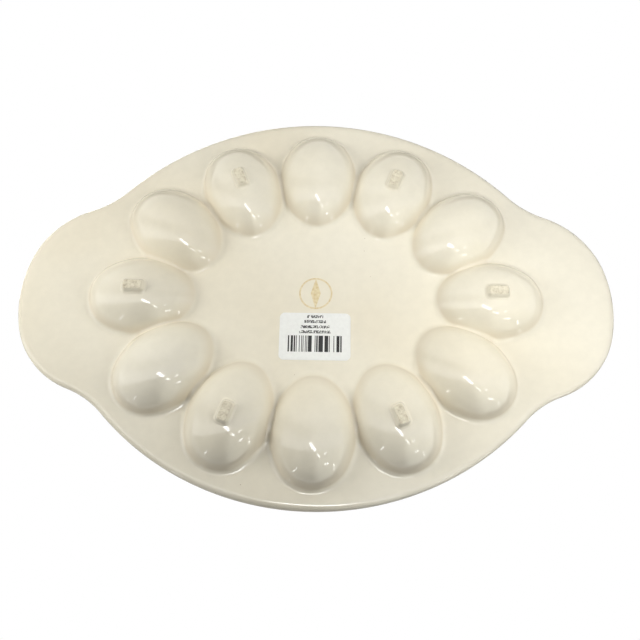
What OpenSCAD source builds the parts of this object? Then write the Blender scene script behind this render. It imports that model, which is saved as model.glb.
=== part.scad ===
// Deviled egg platter: an oval ceramic platter with a handle lobe at each end
// and a ring of twelve egg-shaped wells, standing on six small feet.
// Frame: +Z up, X along the platter, Y across it. The origin is in the middle
// of the plane that the feet stand on, and the wells hang below the deck.

/* [Deck] */
// Thickness of the ceramic deck
deck_thickness = 5.5; // [4:0.5:8]
// How far the rounded edge reaches in from the rim
edge_round = 4; // [2:0.5:6]
// Distance from a side well's outer end to the platter's side edge
well_to_edge = 11; // [8:0.5:20]
// Distance from an end well's outer end to the point where the oval body's side arcs would meet
well_to_tip = 25.6; // [18:0.2:40]

/* [Handles] */
// How far each handle reaches past the tip of the oval body
handle_reach = 17; // [8:0.5:35]
// Radius of the handle's two corners
handle_corner_radius = 53.5; // [42:0.5:64]
// Distance between the centres of the handle's two corners
handle_corner_spacing = 14; // [4:0.5:24]
// Radius of the handle's outer end
handle_end_radius = 82; // [78:1:120]
// Radius of the hollow curve between the body and a handle
neck_radius = 56; // [25:1:80]

/* [Wells] */
// Length of the egg form that shapes the outside of a well
egg_length = 69.6; // [60:0.2:80]
// Diameter of the egg form at its widest
egg_diameter = 53; // [46:0.2:58]
// Radius of the egg form's narrow inner end
egg_narrow_radius = 20.5; // [17:0.1:22]
// How far the egg form's widest place lies from its middle, towards its blunt outer end
egg_shift = 1.4; // [0:0.1:2.5]
// How far a well hangs below the underside of the deck
well_depth = 16.4; // [12:0.2:20]
// Thickness of a well's wall
well_wall = 4.5; // [3.5:0.1:6]
// Gap between neighbouring wells where they meet the deck
well_gap = 0.1; // [0.1:0.1:3]
// Width of the oval ring that the wells stand on, across the platter
ring_width = 161.6; // [140:0.2:180]

/* [Feet] */
// Length of a foot, along its well
foot_length = 13; // [8:0.5:18]
// Width of a foot
foot_width = 7; // [4:0.5:12]
// Height of a foot below the lowest point of its well
foot_height = 2.5; // [1.5:0.1:5]
// Corner radius of a foot
foot_corner = 2; // [0.5:0.1:2]

/* [Label] */
// Length of the paper label on the underside
label_length = 42; // [30:0.5:60]
// Width of the paper label
label_width = 29; // [15:0.5:36]
// Corner radius of the paper label
label_corner = 3; // [1:0.5:6]
// Thickness of the paper label
label_thickness = 0.2; // [0.1:0.05:0.5]
// Gap between the label and the inner end of the well behind it
label_to_well = 8.8; // [4:0.2:14]

/* [Gilt mark] */
// Outside diameter of the gilt ring on the underside
mark_diameter = 20; // [12:0.5:22]
// Width of the ring's gilt line
mark_line = 1; // [0.5:0.1:2]
// Width of the gilt lozenge that stands across the ring
mark_lozenge = 6; // [3:0.5:9]
// Thickness of the gilt
mark_thickness = 0.1; // [0.05:0.05:0.3]
// Gap between the mark and the label behind it
mark_to_label = 2.5; // [1:0.5:8]

/* [Hidden] */
well_count = 12;
well_names = [for (i = [1 : well_count]) str("egg_well_", i)];
foot_names = [for (i = [1 : well_count / 2]) str("foot_", i)];

glaze_colour = [0.91, 0.88, 0.81];
paper_colour = [0.95, 0.95, 0.96];
gilt_colour = [0.80, 0.65, 0.38];

// Straight stretches that stand for a curve: counts, not lengths
edge_steps = 4;
corner_steps = 5;
$fn = 96;

// How far neighbouring arcs lap where they meet, so that they cross and don't only touch
arc_lap = 0.15;

// How far a cut runs past the face that it cuts
overrun = 1;

// Heights above the plane that the feet stand on
underside_z = foot_height + well_depth;
top_z = underside_z + deck_thickness;

// Egg form: a solid of revolution drawn with three arcs on each side of its axis
egg_radius = egg_diameter / 2;
blunt_reach = egg_length / 2 - egg_shift;
narrow_reach = egg_length / 2 + egg_shift;
narrow_centre = [0, egg_narrow_radius - narrow_reach];
egg_side_radius = (pow(narrow_centre.y, 2) + pow(egg_radius, 2) - pow(egg_narrow_radius - arc_lap, 2))
    / (2 * (egg_radius - egg_narrow_radius + arc_lap));
egg_side_centre = [egg_radius - egg_side_radius, 0];
blunt_radius = touching_radius(blunt_reach - arc_lap) + arc_lap;
blunt_centre = [0, blunt_reach - blunt_radius];

// Wells: the egg form's axis lies above the underside, so that only a bowl hangs below
axis_rise = egg_radius - well_depth;
axis_z = underside_z + axis_rise;
well_half_width = sqrt(pow(egg_radius, 2) - pow(axis_rise, 2));
well_outer_reach = blunt_centre.y + sqrt(pow(blunt_radius, 2) - pow(axis_rise, 2));
well_inner_reach = sqrt(pow(egg_narrow_radius, 2) - pow(axis_rise, 2)) - narrow_centre.y;

// Ring of wells: an ellipse, with its length set by the pitch of the wells
well_pitch = 2 * well_half_width + well_gap;
ring_half_width = ring_width / 2;
ring_mean = well_count * well_pitch / 360 * (180 / PI);
ring_half_length = sqrt(2 * ring_mean * ring_mean - ring_half_width * ring_half_width);
ring_stretch_share = (pow(ring_half_length, 2) - pow(ring_half_width, 2))
    / (pow(ring_half_length, 2) + pow(ring_half_width, 2)) / 4;

// Oval body: each side is one arc through the middle of the side and both tips
half_body = ring_half_length + well_outer_reach + well_to_tip;
half_width = ring_half_width + well_outer_reach + well_to_edge;
side_radius = (half_body * half_body + half_width * half_width) / (2 * half_width);
side_centre = [0, half_width - side_radius];

// Handle: a wide end arc and two corner arcs that meet it from inside
half_length = half_body + handle_reach;
end_centre = [half_length - handle_end_radius, 0];
end_reach = handle_end_radius - handle_corner_radius + arc_lap;
corner_angle = asin(handle_corner_spacing / 2 / end_reach);
corner_centre = end_centre + end_reach * [cos(corner_angle), sin(corner_angle)];
end_half_width = handle_end_radius * sin(corner_angle);

// Neck: the hollow arc that meets the side arc and the corner arc
side_reach = side_radius + neck_radius - arc_lap;
corner_reach = handle_corner_radius + neck_radius - arc_lap;
centre_gap = norm(corner_centre - side_centre);
centre_line = (corner_centre - side_centre) / centre_gap;
neck_along = (pow(side_reach, 2) - pow(corner_reach, 2) + pow(centre_gap, 2)) / (2 * centre_gap);
neck_across = sqrt(side_reach * side_reach - neck_along * neck_along);
neck_centre = side_centre + neck_along * centre_line + neck_across * [-centre_line.y, centre_line.x];

// Places of the label and the mark, one after the other from the well at the back
label_y = ring_half_width - well_inner_reach - label_to_well - label_width / 2;
mark_y = label_y - label_width / 2 - mark_to_label - mark_diameter / 2;

function angle_of(v) = atan2(v.y, v.x);

// Angle on the ring's ellipse that spaces the wells evenly along it
function ring_angle(i) =
    let (even = 360 * i / well_count) even + ring_stretch_share * sin(2 * even) * 180 / PI;

function ring_place(i) = [ring_half_length * cos(ring_angle(i)), ring_half_width * sin(ring_angle(i))];

// Direction of a well's long axis: square to the ring
function ring_direction(i) =
    let (a = ring_angle(i)) atan2(ring_half_length * sin(a), ring_half_width * cos(a));

// Radius of the end arc that reaches this far along the axis and touches the egg form's side arcs
function touching_radius(reach) = (pow(egg_side_radius, 2) - pow(reach, 2) - pow(egg_side_centre.x, 2))
    / (2 * (egg_side_radius - reach));

function arc_points(centre, radius, from, to, steps) = [for (k = [0 : steps])
    let (a = from + (to - from) * k / steps) centre + radius * [cos(a), sin(a)]];

// A rectangle with round corners, about the origin
module rounded_rectangle(length, width, corner) {
    corners = [[1, 1], [-1, 1], [-1, -1], [1, -1]];
    turn = 360 / len(corners);
    polygon([for (i = [0 : 3]) each arc_points(
        [corners[i].x * (length / 2 - corner), corners[i].y * (width / 2 - corner)],
        corner, turn * i, turn * (i + 1), corner_steps)]);
}

// Points up the rounded edge at the given radius; way is 1 where the edge bulges outward from the
// arc's centre, and -1 where it is hollow
function edge_points(radius, way) = [for (k = [0 : edge_steps])
    let (a = 180 * k / edge_steps - 90)
    [radius - way * edge_round * (1 - cos(a)), deck_thickness * (1 + sin(a)) / 2]];

// A flat disc as thick as the deck, with a rounded edge
module disc(centre, radius) {
    translate(centre) rotate_extrude()
        polygon(concat([[0, 0]], edge_points(radius, 1), [[0, deck_thickness]]));
}

// The body: the oval where two wide discs overlap
module body() {
    intersection() {
        disc(side_centre, side_radius);
        disc(-side_centre, side_radius);
    }
}

// The wide end of a handle, between its two corners
module handle_end() {
    intersection() {
        disc(end_centre, handle_end_radius);
        translate([end_centre.x, -end_half_width, -overrun])
            cube([2 * handle_end_radius, 2 * end_half_width, deck_thickness + 2 * overrun]);
    }
}

// The web that fills the neck between the body and a handle's corner, back to the hollow arc
module neck() {
    far_radius = neck_radius + edge_round;
    difference() {
        linear_extrude(deck_thickness) polygon([side_centre, corner_centre, neck_centre]);
        translate(neck_centre) rotate_extrude() polygon(concat(
            [[0, -overrun], [far_radius, -overrun]],
            edge_points(neck_radius, -1),
            [[far_radius, deck_thickness + overrun], [0, deck_thickness + overrun]]));
    }
}

// The deck without its wells: a flat slab with a rounded edge
module slab() {
    body();
    for (end = [0, 1]) mirror([end, 0, 0]) {
        handle_end();
        for (side = [0, 1]) mirror([0, side, 0]) {
            disc(corner_centre, handle_corner_radius);
            neck();
        }
    }
}

// Height on the egg form's axis where the side arc meets an end arc
function meeting_height(end_middle, inset) =
    (egg_side_radius - inset) * end_middle.y / norm(end_middle - egg_side_centre);

// Half the outline of the egg form, drawn inset by a wall, with its blunt end upward
module egg_section(inset) {
    low = meeting_height(narrow_centre, inset);
    intersection() {
        translate(egg_side_centre) circle(egg_side_radius - inset);
        translate([0, low]) square([egg_diameter, meeting_height(blunt_centre, inset) - low]);
    }
    intersection() {
        translate(blunt_centre) circle(blunt_radius - inset);
        translate(blunt_centre) square([egg_diameter, egg_length]);
    }
    intersection() {
        translate(narrow_centre) circle(egg_narrow_radius - inset);
        translate([0, narrow_centre.y - egg_length]) square([egg_diameter, egg_length]);
    }
}

// The egg form along X, with its blunt end at +X
module egg(inset) {
    rotate([0, 90, 0]) rotate_extrude() egg_section(inset);
}

// Puts its child at well i, with +X pointing outward along the well
module at_well(i) {
    translate([ring_place(i).x, ring_place(i).y, 0]) rotate([0, 0, ring_direction(i)]) children();
}

module well_outside(i) {
    at_well(i) translate([0, 0, axis_z]) egg(0);
}

module well_hollow(i) {
    at_well(i) translate([0, 0, axis_z]) egg(well_wall);
}

// Everything on the far side of the upright plane halfway from well i to well j
module beyond_midway(i, j) {
    middle = (ring_place(i) + ring_place(j)) / 2;
    translate([middle.x, middle.y, 0]) rotate([0, 0, angle_of(ring_place(j) - ring_place(i))])
        translate([0, -egg_length, 0]) cube([egg_length, 2 * egg_length, top_z]);
}

// The deck: the slab with the mouths of the twelve wells cut through it
module deck() {
    color(glaze_colour) difference() {
        translate([0, 0, underside_z]) slab();
        for (i = [0 : well_count - 1]) well_hollow(i);
    }
}

// The bowl of one well, below the deck, meeting its neighbours midway
module egg_well(i) {
    color(glaze_colour) difference() {
        well_outside(i);
        well_hollow(i);
        at_well(i) translate([-egg_length, -egg_length, underside_z])
            cube([2 * egg_length, 2 * egg_length, 2 * egg_diameter]);
        beyond_midway(i, i + 1);
        beyond_midway(i, i - 1);
    }
}

// A foot: a small pad shaped to the bottom of every second well
module foot(i) {
    color(glaze_colour) difference() {
        at_well(2 * i) linear_extrude(foot_height + well_wall)
            rounded_rectangle(foot_length, foot_width, foot_corner);
        well_outside(2 * i);
    }
}

// The paper label, stuck flat to the underside
module paper_label() {
    color(paper_colour) translate([0, label_y, underside_z - label_thickness])
        linear_extrude(label_thickness) rounded_rectangle(label_length, label_width, label_corner);
}

// The gilt mark, fired on to the underside: a plain ring with a lozenge standing across it
module gilt_mark() {
    mark_height = mark_diameter - mark_line;
    color(gilt_colour) translate([0, mark_y, underside_z - mark_thickness]) {
        difference() {
            cylinder(h = mark_thickness, d = mark_diameter);
            translate([0, 0, -overrun])
                cylinder(h = mark_thickness + 2 * overrun, d = mark_diameter - 2 * mark_line);
        }
        linear_extrude(mark_thickness)
            polygon([for (k = [0 : 3]) [mark_lozenge * cos(90 * k), mark_height * sin(90 * k)] / 2]);
    }
}

deck();
for (i = [0 : well_count - 1]) egg_well(i);
for (i = [0 : len(foot_names) - 1]) foot(i);
paper_label();
gilt_mark();
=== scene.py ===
import math

import bpy
import numpy as np
from mathutils import Matrix, Vector


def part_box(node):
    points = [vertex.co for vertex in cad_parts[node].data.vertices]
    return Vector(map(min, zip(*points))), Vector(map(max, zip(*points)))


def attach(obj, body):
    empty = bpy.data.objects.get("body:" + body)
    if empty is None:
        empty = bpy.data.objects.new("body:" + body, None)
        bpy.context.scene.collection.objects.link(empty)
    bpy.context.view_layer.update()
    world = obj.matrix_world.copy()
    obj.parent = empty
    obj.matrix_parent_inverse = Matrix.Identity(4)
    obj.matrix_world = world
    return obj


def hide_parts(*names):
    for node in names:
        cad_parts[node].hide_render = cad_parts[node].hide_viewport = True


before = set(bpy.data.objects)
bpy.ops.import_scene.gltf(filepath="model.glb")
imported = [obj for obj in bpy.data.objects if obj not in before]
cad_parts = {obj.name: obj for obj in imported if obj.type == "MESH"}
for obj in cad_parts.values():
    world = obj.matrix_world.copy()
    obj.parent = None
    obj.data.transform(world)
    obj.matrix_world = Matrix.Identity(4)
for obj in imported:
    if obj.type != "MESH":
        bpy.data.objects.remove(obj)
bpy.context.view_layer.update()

# The platter: one piece of slip-cast earthenware, dipped in ivory glaze and fired. An oval deck
# with a handle lobe at each end carries twelve egg-shaped bowls that hang below it, and every
# corner is softened by the mould and the glaze. All sizes are in metres.
deck_low, deck_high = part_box("deck")
underside = deck_low.z
top_face = deck_high.z
half_length = deck_high.x
half_width = deck_high.y

well_count = 12
egg_length = 0.0696
egg_radius = 0.0265
egg_shift = 0.0014
narrow_radius = 0.0205
well_wall = 0.0045
well_gap = 0.0001
ring_half_width = 0.0808

# An egg's outline is a side arc that touches a narrow and a blunt end arc.
narrow_centre = narrow_radius - egg_length / 2 - egg_shift
narrower = egg_radius - narrow_radius
side_radius = (narrow_centre ** 2 + egg_radius ** 2 - narrow_radius ** 2) / (2 * narrower)
side_offset = side_radius - egg_radius
blunt_reach = egg_length / 2 - egg_shift
shorter = side_radius - blunt_reach
blunt_radius = (side_radius ** 2 - blunt_reach ** 2 - side_offset ** 2) / (2 * shorter)
blunt_centre = blunt_reach - blunt_radius
well_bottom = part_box("egg_well_1")[0].z
axis_height = well_bottom + egg_radius
axis_rise = axis_height - underside

well_pitch = 2 * math.sqrt(egg_radius ** 2 - axis_rise ** 2) + well_gap
ring_mean = well_count * well_pitch / (2 * math.pi)
ring_half_length = math.sqrt(2 * ring_mean ** 2 - ring_half_width ** 2)
ring_squares = ring_half_length ** 2 + ring_half_width ** 2
ring_stretch = (ring_half_length ** 2 - ring_half_width ** 2) / ring_squares / 4


def ring_line(even):
    """Places on the ring of wells at evenly spaced angles, and the outward directions there."""
    angle = even + ring_stretch * np.sin(2 * even)
    place = np.stack([ring_half_length * np.cos(angle), ring_half_width * np.sin(angle)], -1)
    outward = np.stack([ring_half_width * np.cos(angle), ring_half_length * np.sin(angle)], -1)
    return place, outward / np.linalg.norm(outward, axis=-1, keepdims=True)


well_places, well_directions = ring_line(2 * math.pi * np.arange(well_count) / well_count)


def egg_distance(along, off_axis, inset):
    """Distance from the egg form, a solid of revolution of three arcs, drawn inset by a wall."""
    lean = along * side_offset
    reach = off_axis + side_offset
    side = np.hypot(along, reach) - side_radius
    blunt = np.hypot(along - blunt_centre, off_axis) - blunt_radius
    narrow = np.hypot(along - narrow_centre, off_axis) - narrow_radius
    not_blunt = np.where(lean < narrow_centre * reach, narrow, side)
    return np.where(lean > blunt_centre * reach, blunt, not_blunt) + inset


def run_together(distances, fillet):
    """Distance from several forms that run into one another with a fillet of this radius."""
    near = np.maximum(fillet - distances, 0)
    return np.maximum(fillet, distances.min(0)) - np.sqrt((near ** 2).sum(0))


def face_height(plan, face, inset, fillet):
    """Height of the casting over points of the plan, where the bowls' egg forms run into a flat
    face. It is found by halving the height between just under the bowls and the face."""
    clearance, halvings = 0.001, 23
    gaps = np.linalg.norm(plan[:, None] - well_places[None], axis=2)
    nearest = np.argsort(gaps, axis=1)[:, :2]
    wells = []
    for k in range(2):
        offset = plan - well_places[nearest[:, k]]
        way = well_directions[nearest[:, k]]
        across = offset[:, 1] * way[:, 0] - offset[:, 0] * way[:, 1]
        wells.append(((offset * way).sum(1), across))
    low = np.full(len(plan), well_bottom - clearance)
    high = np.full(len(plan), face)
    for _ in range(halvings):
        middle = (low + high) / 2
        distances = [face - middle]
        for along, across in wells:
            distances.append(egg_distance(along, np.hypot(across, middle - axis_height), inset))
        outside = run_together(np.stack(distances), fillet) > 0
        low = np.where(outside, middle, low)
        high = np.where(outside, high, middle)
    return high


class HeightMap:
    """A quarter of one face of the casting, sampled finely, for spreading the mesh over it."""

    step = 0.0005
    margin = 3 * step

    def __init__(self, face, inset, fillet):
        across = np.arange(0, half_length + self.margin, self.step)
        up = np.arange(0, half_width + self.margin, self.step)
        plan = np.stack(np.meshgrid(across, up, indexing="ij"), -1)
        heights = face_height(plan.reshape(-1, 2), face, inset, fillet)
        self.height = heights.reshape(plan.shape[:2])
        self.slope = np.stack(np.gradient(self.height, self.step), -1)

    def read(self, plan):
        """Height and slope over points of the plan, in any quarter."""
        where = np.abs(plan) / self.step
        cell = np.minimum(where.astype(int), np.array(self.height.shape) - 2)
        share = where - cell
        layers = np.concatenate([self.height[..., None], self.slope], -1)
        total = 0
        for i in (0, 1):
            for j in (0, 1):
                weight = np.abs(1 - i - share[..., 0]) * np.abs(1 - j - share[..., 1])
                total = total + weight[..., None] * layers[cell[..., 0] + i, cell[..., 1] + j]
        return total[..., 0], total[..., 1:] * np.sign(plan)


def spread(plan, chart):
    """Slides the plan's rows and columns until its cells are alike on slopes and flats."""
    rounds, give = 260, 0.7
    plan = plan.copy()
    for _ in range(rounds):
        height, slope = chart.read(plan)
        points = np.concatenate([plan, height[..., None]], -1)
        mean = np.roll(points, 1, 1) + np.roll(points, -1, 1)
        mean[1:-1] += points[:-2] + points[2:]
        pull = mean[1:-1] / 4 - points[1:-1]
        normal = np.concatenate([-slope[1:-1], np.ones_like(height[1:-1])[..., None]], -1)
        normal /= np.linalg.norm(normal, axis=-1, keepdims=True)
        pull -= (pull * normal).sum(-1, keepdims=True) * normal
        plan[1:-1] += give * pull[..., :2]
    return plan


def outline_arcs():
    """The deck's outline from the tip of a handle to the middle of a side: the handle's end, its
    corner, the hollow neck and the long side. Gives each arc's centre, radius, ends and way."""
    end_radius = 0.082
    corner_radius = 0.0535
    corner_spacing = 0.014
    neck_radius = 0.056
    handle_reach = 0.017
    half_body = half_length - handle_reach
    long_radius = (half_body ** 2 + half_width ** 2) / (2 * half_width)
    long_centre = np.array([0, half_width - long_radius])
    end_centre = np.array([half_length - end_radius, 0])
    corner_turn = math.asin(corner_spacing / 2 / (end_radius - corner_radius))
    corner_way = np.array([math.cos(corner_turn), math.sin(corner_turn)])
    corner_centre = end_centre + (end_radius - corner_radius) * corner_way
    across = corner_centre - long_centre
    gap = np.linalg.norm(across)
    across /= gap
    from_long = long_radius + neck_radius
    from_corner = corner_radius + neck_radius
    along = (from_long ** 2 - from_corner ** 2 + gap ** 2) / (2 * gap)
    aside = math.sqrt(from_long ** 2 - along ** 2)
    neck_centre = long_centre + along * across + aside * np.array([-across[1], across[0]])

    def turn(a, b):
        return math.atan2(b[1] - a[1], b[0] - a[0])

    into_neck = turn(corner_centre, neck_centre)
    out_of_neck = turn(long_centre, neck_centre)
    return [
        (end_centre, end_radius, 0, corner_turn, 1),
        (corner_centre, corner_radius, corner_turn, into_neck, 1),
        (neck_centre, neck_radius, into_neck + math.pi, out_of_neck + math.pi, -1),
        (long_centre, long_radius, out_of_neck, math.pi / 2, 1),
    ]


def deck_outline():
    """Points close together round the whole outline, and the outward directions there."""
    longest_step = 0.0004
    points, outward = [], []
    for centre, radius, start, stop, way in outline_arcs():
        count = max(3, int(abs(stop - start) * radius / longest_step))
        angles = start + (stop - start) * np.arange(count) / count
        unit = np.stack([np.cos(angles), np.sin(angles)], -1)
        points.append(centre + radius * unit)
        outward.append(way * unit)
    quarter = np.concatenate(points), np.concatenate(outward)
    whole = []
    for part, last in zip(quarter, (np.array([[0, half_width]]), np.array([[0, 1]]))):
        first_half = [part, last, part[:0:-1] * [-1, 1], part[:1] * [-1, 1]]
        other_half = [part[1:] * [-1, -1], last * [1, -1], part[:0:-1] * [1, -1]]
        whole.append(np.concatenate(first_half + other_half))
    return whole


columns = 480
column_places, column_ways = ring_line(2 * math.pi * np.arange(columns) / columns)
outline, outline_ways = deck_outline()
outline_steps = np.linalg.norm(np.roll(outline, -1, 0) - outline, axis=1)
outline_run = np.concatenate([[0], np.cumsum(outline_steps)])


def round_the_outline(run):
    """Points and outward directions at these distances round the outline."""
    run = np.mod(run, outline_run[-1])
    loop = np.concatenate([outline, outline[:1]])
    ways = np.concatenate([outline_ways, outline_ways[:1]])
    place = np.stack([np.interp(run, outline_run, loop[:, k]) for k in (0, 1)], -1)
    way = np.stack([np.interp(run, outline_run, ways[:, k]) for k in (0, 1)], -1)
    return place, way / np.linalg.norm(way, axis=1, keepdims=True)


def column_ends():
    """Where each column of the mesh meets the rim: straight out from the ring, then evened."""
    overlap, evening_rounds = 0.001, 900
    quarter = columns // 4
    ends = np.zeros(quarter + 1)
    quarter_run = outline_run[-1] / 4
    near_quarter = outline_run[:-1] <= quarter_run + overlap
    for j in range(quarter + 1):
        offset = outline - column_places[j]
        ahead = offset @ column_ways[j]
        aside = offset @ np.array([-column_ways[j][1], column_ways[j][0]])
        aside = np.where((ahead > 0) & near_quarter, np.abs(aside), 1)
        ends[j] = outline_run[np.argmin(aside)]
    ends[0], ends[-1] = 0, quarter_run
    for _ in range(evening_rounds):
        ends[1:-1] = (ends[:-2] + 2 * ends[1:-1] + ends[2:]) / 4
    half = np.concatenate([ends, 2 * quarter_run - ends[-2::-1]])
    return np.concatenate([half[:-1], 2 * quarter_run + half[:-1]])


rim_places, rim_ways = round_the_outline(column_ends())
edge_round = 0.004
glaze_inset = 0.00015

# Rows of the mesh: some over the ring of bowls, some from there to the rim, and in the middle
# some that each have a count of points and a share of the way out to the ring's inner edge.
inner_reach = -0.0365
outer_reach = 0.0335
ring_rows = 56
margin_rows = 11
inner_edge = column_places + inner_reach * column_ways
plan_rows = []
for s in np.linspace(inner_reach, outer_reach, ring_rows):
    plan_rows.append(column_places + s * column_ways)
flat_edge = rim_places - (edge_round + glaze_inset) * rim_ways
for s in np.linspace(0, 1, margin_rows + 1)[1:]:
    plan_rows.append((1 - s) * plan_rows[ring_rows - 1] + s * flat_edge)
plan_rows = np.stack(plan_rows)

middle_rows = [(30, 0.06), (30, 0.13), (60, 0.20), (60, 0.27), (60, 0.34), (120, 0.41)]
middle_rows += [(120, 0.49), (120, 0.57), (120, 0.65), (240, 0.73), (240, 0.80), (240, 0.87)]
middle_rows += [(240, 0.94)]


def face_rows(face, inset, fillet):
    """One face of the casting as rows of points, from the middle of the platter to its rim."""
    rows = []
    for count, share in middle_rows:
        plan = share * inner_edge[:: columns // count]
        rows.append(np.concatenate([plan, np.full((count, 1), face)], 1))
    for line in spread(plan_rows, HeightMap(face, inset, fillet)):
        rows.append(np.concatenate([line, face_height(line, face, inset, fillet)[:, None]], 1))
    return rows


def stitched(rows, low_cap, high_cap):
    """Points and faces of a closed skin through rows of points. A row may have twice or half the
    points of the one before, and the caps are the single points that close the ends."""
    points = np.concatenate([[low_cap], *rows, [high_cap]])
    starts = np.cumsum([1] + [len(row) for row in rows])
    faces = [(0, 1 + (j + 1) % len(rows[0]), 1 + j) for j in range(len(rows[0]))]
    for k in range(len(rows) - 1):
        here, there = len(rows[k]), len(rows[k + 1])
        a, b = int(starts[k]), int(starts[k + 1])
        for j in range(min(here, there)):
            if here == there:
                n = (j + 1) % here
                faces.append((a + j, a + n, b + n, b + j))
            elif there > here:
                n, m = (j + 1) % here, (2 * j + 2) % there
                faces.append((a + j, b + 2 * j + 1, b + 2 * j))
                faces.append((a + j, a + n, b + 2 * j + 1))
                faces.append((a + n, b + m, b + 2 * j + 1))
            else:
                n, m = (j + 1) % there, (2 * j + 2) % here
                faces.append((a + 2 * j, a + 2 * j + 1, b + j))
                faces.append((a + 2 * j + 1, b + n, b + j))
                faces.append((a + 2 * j + 1, a + m, b + n))
    last, final = int(starts[-2]), len(points) - 1
    count = len(rows[-1])
    faces += [(last + j, last + (j + 1) % count, final) for j in range(count)]
    return points, faces


def linked(name, data):
    """An object with this name and data, placed in the scene."""
    item = bpy.data.objects.new(name, data)
    bpy.context.scene.collection.objects.link(item)
    return item


def skin(name, points, faces):
    """A smooth mesh object of these points and faces, riding with the platter."""
    mesh = bpy.data.meshes.new(name)
    mesh.from_pydata([tuple(p) for p in points], [], faces)
    mesh.shade_smooth()
    mesh.update()
    piece = linked(name, mesh)
    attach(piece, "root")
    return piece


def at_height(plan, height):
    """Points of the plan lifted to this height, or each to its own."""
    return np.concatenate([plan, np.broadcast_to(height, len(plan))[:, None]], 1)


foot_fillet = 0.0017
lip_round = 0.0026
below = face_rows(underside, 0, foot_fillet)
above = face_rows(top_face, well_wall, lip_round)
rim = []
rim_steps = 10
for k in range(1, rim_steps):
    turn = math.pi * k / rim_steps - math.pi / 2
    plan = rim_places - (glaze_inset + edge_round * (1 - math.cos(turn))) * rim_ways
    rim.append(at_height(plan, underside + (top_face - underside) * (1 + math.sin(turn)) / 2))
skin_rows = below + rim + above[::-1]
platter = skin("platter", *stitched(skin_rows, (0, 0, underside), (0, 0, top_face)))
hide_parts("deck", *[f"egg_well_{i + 1}" for i in range(well_count)])

# The platter's finish: ivory glaze over a pale body. It is glossy and a little uneven in colour
# where it ran thin, with a few iron specks, pinholes and a faint ripple. A darker, warmer band
# round the foot of each bowl under the deck is partly pooled glaze and partly painted shade.
ivory_light = (0.892, 0.848, 0.728)
ivory = (0.868, 0.818, 0.688)
ivory_warm = (0.848, 0.788, 0.646)
# Colour of the darker, warmer band round the foot of each bowl: pooled glaze and painted shade.
ivory_pooled_and_shaded = (0.795, 0.728, 0.596)
speck_brown = (0.30, 0.20, 0.11)
shaded_band_depth = 0.010
speck_spacing = 0.011
glaze_ior = 1.58


def add(tree, kind, **inputs):
    """A node of this kind with these values on its sockets. A _ in a name stands for a space."""
    node = tree.nodes.new(kind)
    for name, value in inputs.items():
        node.inputs[name.replace("_", " ")].default_value = value
    return node


def fresh_material(name):
    """A new material, its nodes and its shader."""
    material = bpy.data.materials.new(name)
    material.use_nodes = True
    return material, material.node_tree, material.node_tree.nodes["Principled BSDF"]


def noise(tree, place, wavelength, detail=3.0, roughness=0.5):
    """A smooth random pattern whose patches are about a wavelength across."""
    node = add(
        tree, "ShaderNodeTexNoise", Scale=1 / wavelength, Detail=detail, Roughness=roughness
    )
    tree.links.new(place, node.inputs["Vector"])
    return node.outputs["Fac"]


def ramp(tree, value, stops):
    """A colour that runs through these stops as the value rises. A single number is a grey."""
    node = tree.nodes.new("ShaderNodeValToRGB")
    elements = node.color_ramp.elements
    while len(elements) < len(stops):
        elements.new(0.5)
    for element, (place, colour) in zip(elements, stops):
        element.position = place
        element.color = (*(colour if isinstance(colour, tuple) else (colour,) * 3), 1)
    tree.links.new(value, node.inputs["Fac"])
    return node.outputs["Color"]


def mixed(tree, share, first, second, kind="MIX"):
    """Two colours mixed, or joined in another way, by this share."""
    node = tree.nodes.new("ShaderNodeMix")
    node.data_type = "RGBA"
    node.blend_type = kind
    for socket, value in zip((node.inputs[k] for k in (0, 6, 7)), (share, first, second)):
        if isinstance(value, (int, float)):
            socket.default_value = value
        elif isinstance(value, tuple):
            socket.default_value = (*value, 1)
        else:
            tree.links.new(value, socket)
    return node.outputs[2]


def place_of(tree):
    """The place of each point of the piece, in metres."""
    return tree.nodes.new("ShaderNodeTexCoord").outputs["Object"]


def joined(tree, kind, *values):
    """A sum, product or other joining of numbers or sockets."""
    node = add(tree, "ShaderNodeMath")
    node.operation = kind
    for socket, value in zip(node.inputs, values):
        if isinstance(value, (int, float)):
            socket.default_value = value
        else:
            tree.links.new(value, socket)
    return node.outputs[0]


def share_of(tree, vector, axis):
    """One of the three numbers of a vector."""
    split = tree.nodes.new("ShaderNodeSeparateXYZ")
    tree.links.new(vector, split.inputs[0])
    return split.outputs[axis]


def roughened(tree, height, strength, distance, over=None):
    """The surface's tilt where this height stands proud, on top of another such tilt."""
    node = add(tree, "ShaderNodeBump", Strength=strength, Distance=distance)
    tree.links.new(height, node.inputs["Height"])
    if over is not None:
        tree.links.new(over, node.inputs["Normal"])
    return node.outputs["Normal"]


def dress(tree, shader, colour, roughness, normal):
    """Gives the shader its colour, roughness and tilt."""
    tree.links.new(colour, shader.inputs["Base Color"])
    tree.links.new(roughness, shader.inputs["Roughness"])
    tree.links.new(normal, shader.inputs["Normal"])


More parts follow.
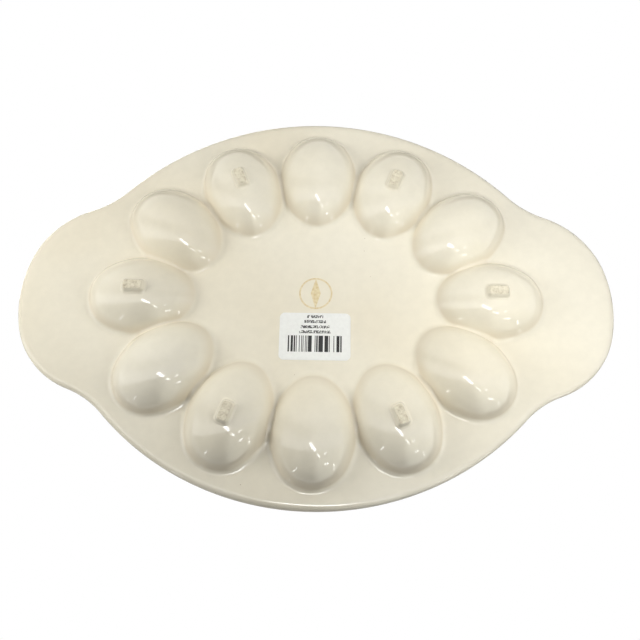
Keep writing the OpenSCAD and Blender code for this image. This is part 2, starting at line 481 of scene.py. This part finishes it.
def glaze_material():
    material, tree, shader = fresh_material("ivory_glaze")
    place = place_of(tree)
    clouds = noise(tree, place, wavelength=0.11, detail=2.0)
    colour = ramp(tree, clouds, [(0.36, ivory_warm), (0.50, ivory), (0.66, ivory_light)])
    mottle = noise(tree, place, wavelength=0.006, detail=4.0, roughness=0.6)
    mottle = ramp(tree, mottle, [(0.35, 0.965), (0.7, 1.0)])
    colour = mixed(tree, 1.0, colour, mottle, "MULTIPLY")

    # Painted shade and pooled glaze: a darker, warmer band on downward faces round each bowl's
    # foot.
    depth = joined(tree, "SUBTRACT", underside, share_of(tree, place, "Z"))
    depth = joined(tree, "DIVIDE", depth, shaded_band_depth)
    pooled_shade_band = ramp(tree, depth, [(0.04, 0.0), (0.18, 1.0), (0.38, 0.8), (0.80, 0.0)])
    facing = tree.nodes.new("ShaderNodeTexCoord").outputs["Normal"]
    hanging = joined(tree, "LESS_THAN", share_of(tree, facing, "Z"), 0.0)
    colour = mixed(tree, joined(tree, "MULTIPLY", pooled_shade_band, hanging), colour, ivory_pooled_and_shaded)

    specks = add(tree, "ShaderNodeTexVoronoi", Scale=1 / speck_spacing, Randomness=1.0)
    tree.links.new(place, specks.inputs["Vector"])
    dots = ramp(tree, specks.outputs["Distance"], [(0.012, 0.75), (0.03, 0.0)])
    patches = noise(tree, place, wavelength=0.045, detail=1.0)
    patches = ramp(tree, patches, [(0.55, 0.0), (0.62, 1.0)])
    dots = mixed(tree, 1.0, dots, patches, "MULTIPLY")
    colour = mixed(tree, dots, colour, speck_brown)

    sheen = ramp(tree, noise(tree, place, wavelength=0.03), [(0.3, 0.035), (0.75, 0.065)])
    ripple = noise(tree, place, wavelength=0.009, detail=2.0, roughness=0.4)
    ripple = roughened(tree, ripple, strength=0.12, distance=0.0004)
    pits = noise(tree, place, wavelength=0.0012)
    pits = roughened(tree, pits, strength=0.03, distance=0.0001, over=ripple)
    dress(tree, shader, colour, sheen, pits)
    shader.inputs["IOR"].default_value = glaze_ior
    return material


platter.data.materials.append(glaze_material())

# The six feet: small oblong pads cast on the bottom of every second bowl. Glaze runs down their
# sides in a soft fillet, and the faces that they stand on are ground dry and a little stained.
foot_half_length = 0.0062
foot_half_width = 0.0035
foot_corner = 0.002
foot_edge = 0.0010
foot_skirt = 0.0015
foot_draft = 0.0005
foot_dish = 0.00022
foot_sink = 0.0012
foot_top = 0.0014
skirt_proud = 0.00001
foot_points = 64
glaze_scale = 0.002
glaze_wanders = 0.0008
dry_stain = (0.40, 0.33, 0.23)
dry_body = (0.63, 0.57, 0.44)
dry_pale = (0.79, 0.74, 0.60)


def oblong(half_long, half_wide, corner, count):
    """Points round an oblong with round corners, and the outward directions there."""
    inner = np.array([half_long - corner, half_wide - corner])
    corners = np.array([[1, -1], [1, 1], [-1, 1], [-1, -1]]) * inner
    bend = math.pi / 2 * corner
    side = [2 * inner[1], 2 * inner[0]]
    total = 4 * bend + 2 * (side[0] + side[1])
    points, ways = [], []
    for run in np.arange(count) / count * total:
        for k in range(4):
            turn = k * math.pi / 2
            way = np.array([math.cos(turn), math.sin(turn)])
            next_way = np.array([-way[1], way[0]])
            if run < side[k % 2]:
                points.append(corners[k] + corner * way + run * next_way)
                ways.append(way)
                break
            run -= side[k % 2]
            if run < bend:
                angle = turn + run / corner
                unit = np.array([math.cos(angle), math.sin(angle)])
                points.append(corners[(k + 1) % 4] + corner * unit)
                ways.append(unit)
                break
            run -= bend
    return np.array(points), np.array(ways)


def foot_rows(place, way):
    """A foot as rows of points, from its standing face up its side and out over the bowl."""
    edge, outward = oblong(foot_half_length, foot_half_width, foot_corner, foot_points)
    turned = np.array([way, [-way[1], way[0]]])

    def over_bowl(offset, scale=1.0):
        plan = (edge + offset * outward) * scale @ turned + place
        return plan, face_height(plan, underside, 0, foot_fillet)

    rows = []
    for scale in (0.25, 0.5, 0.72):
        plan, _ = over_bowl(-foot_edge - foot_draft, scale)
        rows.append(at_height(plan, foot_dish * (1 - scale)))
    for turn in math.pi / 2 * np.arange(6) / 5:
        plan, _ = over_bowl(-foot_draft - foot_edge * (1 - math.sin(turn)))
        rows.append(at_height(plan, foot_edge * (1 - math.cos(turn))))
    for turn in math.pi / 2 * np.arange(7) / 6:
        plan, bowl = over_bowl(foot_skirt * (1 - math.cos(turn)))
        rows.append(at_height(plan, bowl - foot_skirt * (1 - math.sin(turn)) - skirt_proud))
    for scale in (1.0, 0.6, 0.3):
        plan, bowl = over_bowl(foot_skirt, scale)
        rows.append(at_height(plan, bowl + foot_sink))
    return rows


def foot_material():
    material, tree, shader = fresh_material("foot_glaze")
    place = place_of(tree)
    wobble = noise(tree, place, wavelength=0.002)
    height = joined(tree, "MULTIPLY_ADD", wobble, glaze_wanders, share_of(tree, place, "Z"))
    height = joined(tree, "MULTIPLY", height, 1 / glaze_scale)
    glazed = ramp(tree, height, [(0.28, 0.0), (0.42, 1.0)])
    dry = noise(tree, place, wavelength=0.0025, detail=5.0, roughness=0.7)
    dry = ramp(tree, dry, [(0.28, dry_stain), (0.42, dry_body), (0.6, dry_pale)])
    rough = ramp(tree, glazed, [(0.0, 0.75), (1.0, 0.12)])
    grain = noise(tree, place, wavelength=0.0008, detail=4.0, roughness=0.6)
    grain = roughened(tree, grain, strength=0.22, distance=0.0002)
    dress(tree, shader, mixed(tree, glazed, dry, ivory), rough, grain)
    return material


foot_glaze = foot_material()
for i in range(well_count // 2):
    rows = foot_rows(well_places[2 * i], well_directions[2 * i])
    low_cap = (*well_places[2 * i], foot_dish)
    high_cap = (*well_places[2 * i], well_bottom + foot_top)
    foot = skin(f"standing_foot_{i + 1}", *stitched(rows, low_cap, high_cap))
    foot.data.materials.append(foot_glaze)
    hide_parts(f"foot_{i + 1}")

# The label: a slip of coated white paper with round corners, stuck flat to the underside and
# printed with a field of plain bars and four short rows of ticks. The rows are given by their
# distance from the label's edge and half their length.
label_low, label_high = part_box("paper_label")
label_place = np.array([(label_low.x + label_high.x) / 2, (label_low.y + label_high.y) / 2])
label_half = np.array([label_high.x - label_low.x, label_high.y - label_low.y]) / 2
label_corner = 0.003
label_soft = 0.00008
label_points = 128
bar_width = 0.00044
bars_half_length = 0.0158
bars_start = 0.0149
bars_end = 0.0050
bars_missing = 0.42
tick_width = 0.00042
tick_height = 0.00055
ticks_missing = 0.36
tick_ink = 0.92
tick_rows = [(0.0023, 0.0048), (0.0054, 0.0064), (0.0087, 0.0085), (0.0118, 0.0092)]
tick_row_half = 0.0009
paper_dull = (0.84, 0.85, 0.84)
paper_white = (0.89, 0.90, 0.89)
ink = (0.012, 0.011, 0.013)


def label_rows():
    """The label as rows of points: its outer face, its soft edge, its side and its back."""
    edge, outward = oblong(label_half[0], label_half[1], label_corner, label_points)
    rows = []
    for share in (0.12, 0.3, 0.5, 0.7, 0.86, 0.96):
        rows.append((edge * share, label_low.z))
    for turn in math.pi / 2 * np.array([0.0, 0.5, 1.0]):
        plan = edge - label_soft * (1 - math.sin(turn)) * outward
        rows.append((plan, label_low.z + label_soft * (1 - math.cos(turn))))
    rows.append((edge, underside))
    rows.append((edge * 0.5, underside))
    return [at_height(plan + label_place, height) for plan, height in rows]


def within(tree, value, low, high):
    """1 where the value lies between low and high, and 0 elsewhere."""
    over = joined(tree, "GREATER_THAN", value, low)
    return joined(tree, "MULTIPLY", over, joined(tree, "LESS_THAN", value, high))


def chance(tree, kind, value):
    """A random number for each whole value of one number or of a pair."""
    node = tree.nodes.new("ShaderNodeTexWhiteNoise")
    node.noise_dimensions = kind
    tree.links.new(value, node.inputs["W" if kind == "1D" else "Vector"])
    return node.outputs["Value"]


def label_material():
    material, tree, shader = fresh_material("printed_paper")
    place = place_of(tree)
    x, y = share_of(tree, place, "X"), share_of(tree, place, "Y")

    def step_of(value, width):
        return joined(tree, "FLOOR", joined(tree, "DIVIDE", value, width))

    def field(half, low, high):
        middle = float(label_place[0])
        across = within(tree, x, middle - half, middle + half)
        return joined(tree, "MULTIPLY", across, within(tree, y, low, high))

    bars = joined(tree, "GREATER_THAN", chance(tree, "1D", step_of(x, bar_width)), bars_missing)
    bars_field = field(bars_half_length, label_high.y - bars_start, label_high.y - bars_end)
    printed = joined(tree, "MULTIPLY", bars, bars_field)
    cell = tree.nodes.new("ShaderNodeCombineXYZ")
    tree.links.new(step_of(x, tick_width), cell.inputs[0])
    tree.links.new(step_of(y, tick_height), cell.inputs[1])
    ticks = joined(tree, "GREATER_THAN", chance(tree, "2D", cell.outputs[0]), ticks_missing)
    for from_edge, half in tick_rows:
        at = label_low.y + from_edge
        row = joined(tree, "MULTIPLY", field(half, at - tick_row_half, at + tick_row_half), ticks)
        printed = joined(tree, "MAXIMUM", printed, joined(tree, "MULTIPLY", row, tick_ink))

    fibre = noise(tree, place, wavelength=0.0018, detail=4.0)
    fibre = ramp(tree, fibre, [(0.3, paper_dull), (0.7, paper_white)])
    rough = ramp(tree, noise(tree, place, wavelength=0.004), [(0.3, 0.42), (0.7, 0.55)])
    cockle = noise(tree, place, wavelength=0.006)
    cockle = roughened(tree, cockle, strength=0.10, distance=0.0002)
    dress(tree, shader, mixed(tree, printed, fibre, ink), rough, cockle)
    return material


label_caps = (*label_place, label_low.z), (*label_place, underside)
label = skin("label", *stitched(label_rows(), *label_caps))
label.data.materials.append(label_material())
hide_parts("paper_label")

# The gilt mark: a plain ring with a lozenge across it, printed in pale gold and fired on to the
# underside. The gold is thin, so it is worn and lets the glaze through in places.
gold = (0.64, 0.51, 0.28)
gold_worn = (0.77, 0.68, 0.46)
gold_metal = 0.1


def gilt_material():
    material, tree, shader = fresh_material("worn_gilt")
    place = place_of(tree)
    wear = noise(tree, place, wavelength=0.0016, detail=4.0, roughness=0.6)
    wear = ramp(tree, wear, [(0.35, 0.0), (0.65, 1.0)])
    rough = ramp(tree, wear, [(0.0, 0.28), (1.0, 0.45)])
    grain = noise(tree, place, wavelength=0.0006)
    grain = roughened(tree, grain, strength=0.2, distance=0.00005)
    dress(tree, shader, mixed(tree, wear, gold, gold_worn), rough, grain)
    shader.inputs["Metallic"].default_value = gold_metal
    return material


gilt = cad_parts["gilt_mark"]
gilt.data.materials.clear()
gilt.data.materials.append(gilt_material())

# The floor: the platter stands on a plain pale sheet that fades out with distance. It only shows
# from above, so that the camera below sees the underside as if it had been turned up.
floor_reach = 3.0
fade_from = 0.3
fade_to = 1.3


def from_to(tree, value, low, high, kind="LINEAR"):
    """A number that rises from 0 to 1 while the value goes from low to high."""
    node = add(tree, "ShaderNodeMapRange", From_Min=low, From_Max=high)
    node.interpolation_type = kind
    tree.links.new(value, node.inputs["Value"])
    return node.outputs["Result"]


def either(tree, share, first, second):
    """The first of two shaders or lights where the share is 0, and the second where it is 1."""
    choose = tree.nodes.new("ShaderNodeMixShader")
    for socket, value in zip(choose.inputs, (share, first, second)):
        tree.links.new(value, socket)
    return choose.outputs[0]


def floor_material():
    material, tree, shader = fresh_material("floor")
    place = place_of(tree)
    tone = noise(tree, place, wavelength=0.4, detail=2.0)
    tree.links.new(ramp(tree, tone, [(0.3, 0.84), (0.7, 0.87)]), shader.inputs["Base Color"])
    shader.inputs["Roughness"].default_value = 0.9
    shader.inputs["Specular IOR Level"].default_value = 0.0
    distance = tree.nodes.new("ShaderNodeVectorMath")
    distance.operation = "LENGTH"
    tree.links.new(place, distance.inputs[0])
    faded = from_to(tree, distance.outputs["Value"], fade_from, fade_to, "SMOOTHSTEP")
    from_below = tree.nodes.new("ShaderNodeNewGeometry").outputs["Backfacing"]
    see_through = tree.nodes.new("ShaderNodeBsdfTransparent").outputs[0]
    clear = joined(tree, "MAXIMUM", from_below, faded)
    surface = either(tree, clear, shader.outputs[0], see_through)
    tree.links.new(surface, tree.nodes["Material Output"].inputs["Surface"])
    return material


floor_mesh = bpy.data.meshes.new("floor")
corners = [(x * floor_reach, y * floor_reach, 0) for x, y in ((-1, -1), (1, -1), (1, 1), (-1, 1))]
floor_mesh.from_pydata(corners, [], [(0, 1, 2, 3)])
floor_mesh.materials.append(floor_material())
floor = linked("floor", floor_mesh)
floor.visible_shadow = False
floor.visible_glossy = False
floor.visible_diffuse = False

# The camera: it stands below the platter and towards its near side, and looks up at the
# underside as in the photograph. Its lens is given in pixels of the photograph.
view_right = Vector((0.9998, -0.0175, 0.0))
view_down = Vector((0.0166, 0.9483, 0.3168))
view_ahead = Vector((-0.0055, -0.3168, 0.9485))
camera_place = Vector((0.00494, 0.13302, -0.33821))
photo_width = 640
lens_pixels = 634.8
sensor_width = 36.0

lens = bpy.data.cameras.new("camera")
lens.sensor_width = sensor_width
lens.lens = sensor_width * lens_pixels / photo_width
lens.clip_start = 0.01
lens.clip_end = 30.0
right, down, ahead = view_right.normalized(), view_down.normalized(), view_ahead.normalized()
turned = Matrix((right, -down, -ahead)).transposed()
camera = linked("camera", lens)
camera.matrix_world = Matrix.Translation(camera_place) @ turned.to_4x4()
bpy.context.scene.camera = camera

# The lamps: soft ones below and above that leave no reflection of their own below, and small
# ones whose glints alone show on the bowls. Ways are given as seen from the camera: to the
# right, up and towards it.
platter_middle = Vector((0, 0, 0.015))


def lamp(name, way, distance, size, energy, colour=(1, 1, 1), mirrored=False):
    """A round lamp that shines on the middle of the platter."""
    data = bpy.data.lights.new(name, "AREA")
    data.shape = "DISK"
    data.size = size
    data.energy = energy
    data.color = colour
    item = linked(name, data)
    item.location = platter_middle + distance * way
    item.rotation_euler = (-way).to_track_quat("-Z", "Y").to_euler()
    item.visible_glossy = mirrored
    item.visible_camera = False
    return item


def soft_lamp(name, way, distance, size, share, colour=(1, 1, 1), mirrored=False):
    """A lamp that by itself would light a surface facing it to this share of its colour."""
    lamp(name, way, distance, size, share * (math.pi * distance) ** 2, colour, mirrored)


def from_straight_down(tilt, azimuth):
    """A way that leans by a tilt from straight down, towards an azimuth, both in degrees."""
    tilt, azimuth = math.radians(tilt), math.radians(azimuth)
    across = math.sin(tilt)
    return Vector((across * math.cos(azimuth), across * math.sin(azimuth), -math.cos(tilt)))


def seen_from_camera(to_right, up, towards):
    """A way given by its parts to the right of the camera's view, up in it and towards it."""
    return (to_right * right - up * down - towards * ahead).normalized()


warm = (1.0, 0.992, 0.940)
warmer = (1.0, 0.988, 0.930)
# Each soft lamp's way, distance, size, share of the light and colour.
soft_lamp("soft_right", from_straight_down(47, 12), 0.253, 0.16, 0.49, warm)
soft_lamp("soft_left", from_straight_down(61, 182), 0.426, 0.20, 0.48, warmer)
soft_lamp("soft_far", from_straight_down(38, 277), 0.263, 0.16, 0.276, warmer)
over_left = Vector((-0.35, -0.45, 0.82)).normalized()
soft_lamp("soft_above", over_left, 1.6, 1.2, 0.55, mirrored=True)

# Each glint's way, then its length, width, turn in degrees and brightness.
glint_distance = 1.3
glints = [
    ((0.00, -0.04, 1.00), 0.40, 0.120, -40, 12.0),
    ((0.25, -0.27, 0.93), 0.22, 0.055, -55, 10.0),
    ((0.50, -0.22, 0.84), 0.16, 0.045, -10, 9.0),
    ((0.54, -0.47, 0.70), 0.22, 0.060, -30, 10.0),
    ((0.74, -0.54, 0.40), 0.26, 0.045, 70, 9.0),
    ((-0.62, -0.60, 0.50), 0.34, 0.040, 80, 8.0),
]
for k, (way, long, wide, turn, brightness) in enumerate(glints):
    energy = brightness * math.pi * long * wide
    place = seen_from_camera(*way)
    item = lamp(f"glint_{k + 1}", place, glint_distance, long, energy, mirrored=True)
    item.data.shape = "RECTANGLE"
    item.data.size_y = wide
    item.rotation_euler.rotate_axis("Z", math.radians(turn))
    item.visible_diffuse = False

# The room: a half ball below the floor that only the glaze reflects. Above a horizon it is as
# bright as walls and lamps, below it dark, and a pale edge runs round it level with the floor.
# Its marks are given as shares of its radius.
room_radius = 2.4
room_glow = 2.2
room_wander = 0.10
room_width = (-0.6, 0.6)
room_middle = (-0.14, 0.12)
room_horizon = (-0.13, -0.11)
room_edge = (-0.055, -0.045)
room_dark = (0.010, 0.009, 0.006)
room_left_end = (0.22, 0.20, 0.15)
room_right_end = (1.0, 0.98, 0.84)
room_skyline = (0.85, 0.83, 0.77)
cloud_dull = (0.90, 0.90, 0.86)
cloud_bright = (1.0, 0.99, 0.97)
# How bright the room is by height in the view, in its right half and in its left half.
room_right = [(0.12, 1.0), (0.36, 0.46), (0.56, 0.70), (0.68, 0.66), (0.86, 0.50), (1.0, 0.40)]
room_left = [(0.10, 0.92), (0.34, 0.18), (0.46, 0.22), (0.58, 0.66), (0.68, 0.60)]
room_left += [(0.86, 0.38), (1.0, 0.32)]


def half_ball(name, radius, rings, sides):
    """The lower half of a ball."""
    points = []
    for tilt in math.pi / 2 * np.arange(1, rings + 1) / rings:
        across, down_by = radius * math.sin(tilt), radius * math.cos(tilt)
        for turn in 2 * math.pi * np.arange(sides) / sides:
            points.append((across * math.cos(turn), across * math.sin(turn), -down_by))
    faces = [(len(points), (j + 1) % sides, j) for j in range(sides)]
    for k in range(rings - 1):
        for j in range(sides):
            here, after = k * sides + j, k * sides + (j + 1) % sides
            faces.append((here, after, after + sides, here + sides))
    mesh = bpy.data.meshes.new(name)
    mesh.from_pydata(points + [(0, 0, -radius)], [], faces)
    mesh.shade_smooth()
    return mesh


def only_mirrored(name, mesh, material):
    """A part of the stage that nothing but a reflection sees."""
    mesh.materials.append(material)
    item = linked(name, mesh)
    item.visible_camera = False
    item.visible_diffuse = False
    item.visible_transmission = False
    item.visible_shadow = False


def glow(tree, tone, strength):
    """Makes the surface shine with this tone."""
    light = add(tree, "ShaderNodeEmission", Strength=strength)
    tree.links.new(tone, light.inputs["Color"])
    tree.links.new(light.outputs[0], tree.nodes["Material Output"].inputs["Surface"])


def room_material():
    material, tree, _ = fresh_material("dim_room")
    place = place_of(tree)

    def share_along(way):
        node = tree.nodes.new("ShaderNodeVectorMath")
        node.operation = "DOT_PRODUCT"
        tree.links.new(place, node.inputs[0])
        node.inputs[1].default_value = way / room_radius
        return node.outputs["Value"]

    wander = noise(tree, place, wavelength=0.8, roughness=0.6)
    wander = joined(tree, "MULTIPLY", joined(tree, "SUBTRACT", wander, 0.5), room_wander)
    upward = joined(tree, "ADD", share_along(-down), wander)
    to_right = from_to(tree, share_along(right), *room_middle)
    upper = mixed(tree, to_right, ramp(tree, upward, room_left), ramp(tree, upward, room_right))
    clouds = noise(tree, place, wavelength=1.1, detail=2.0)
    clouds = ramp(tree, clouds, [(0.35, cloud_dull), (0.65, cloud_bright)])
    upper = mixed(tree, 1.0, upper, clouds, "MULTIPLY")
    rightward = from_to(tree, share_along(right), *room_width)
    ends = [(0.05, room_left_end), (0.22, room_dark), (0.50, room_dark), (0.74, room_right_end)]
    over_horizon = from_to(tree, upward, *room_horizon)
    tone = mixed(tree, over_horizon, ramp(tree, rightward, ends), upper)
    edge = from_to(tree, share_along(Vector((0, 0, 1))), *room_edge)
    glow(tree, mixed(tree, edge, tone, room_skyline), room_glow)
    return material


only_mirrored("room", half_ball("room", room_radius, rings=24, sides=64), room_material())

# The surround: a flat ring from just outside the platter's outline, level with its upper face.
# Only the glaze reflects it, where the sides of the bowls and the rim turn away from the camera.
surround_gap = 0.004
surround_reach = 0.8
surround_brown = (0.22, 0.19, 0.14)
surround_pale = (0.34, 0.30, 0.23)
surround_glow = 1.0


def surround_mesh():
    inner = (rim_places + surround_gap * rim_ways)[::4]
    outer = [surround_reach * Vector(p).normalized() for p in rim_places[::4]]
    points = [(*p, top_face) for p in [*inner, *outer]]
    count = len(inner)
    faces = []
    for j in range(count):
        n = (j + 1) % count
        faces.append((j, n, count + n, count + j))
    mesh = bpy.data.meshes.new("table")
    mesh.from_pydata(points, [], faces)
    return mesh


def surround_material():
    material, tree, _ = fresh_material("pale_table")
    tone = noise(tree, place_of(tree), wavelength=0.1, detail=2.0)
    tone = ramp(tree, tone, [(0.3, surround_brown), (0.7, surround_pale)])
    glow(tree, tone, surround_glow)
    return material


only_mirrored("table", surround_mesh(), surround_material())

# The air round it all: plain white to the camera, reflections and anything seen through, and a
# soft grey light to every other ray, which is brighter from above than from below.
light_below = 0.19
light_above = 0.50

world = bpy.data.worlds.new("studio")
bpy.context.scene.world = world
world.use_nodes = True
air = world.node_tree
for node in list(air.nodes):
    air.nodes.remove(node)
white = add(air, "ShaderNodeBackground", Color=(1, 1, 1, 1), Strength=1.0)
around = add(air, "ShaderNodeBackground", Strength=1.0)
way = air.nodes.new("ShaderNodeTexCoord").outputs["Generated"]
overhead = joined(air, "ADD", joined(air, "MULTIPLY", share_of(air, way, "Z"), 0.5), 0.5)
overhead = ramp(air, overhead, [(0.45, light_below), (0.60, light_above)])
air.links.new(overhead, around.inputs["Color"])
ray = air.nodes.new("ShaderNodeLightPath").outputs
sees_white = joined(air, "MAXIMUM", ray["Is Camera Ray"], ray["Is Glossy Ray"])
sees_white = joined(air, "MAXIMUM", sees_white, ray["Is Transmission Ray"])
result = air.nodes.new("ShaderNodeOutputWorld")
shown = either(air, sees_white, around.outputs[0], white.outputs[0])
air.links.new(shown, result.inputs["Surface"])

bpy.context.scene.view_settings.view_transform = "Standard"
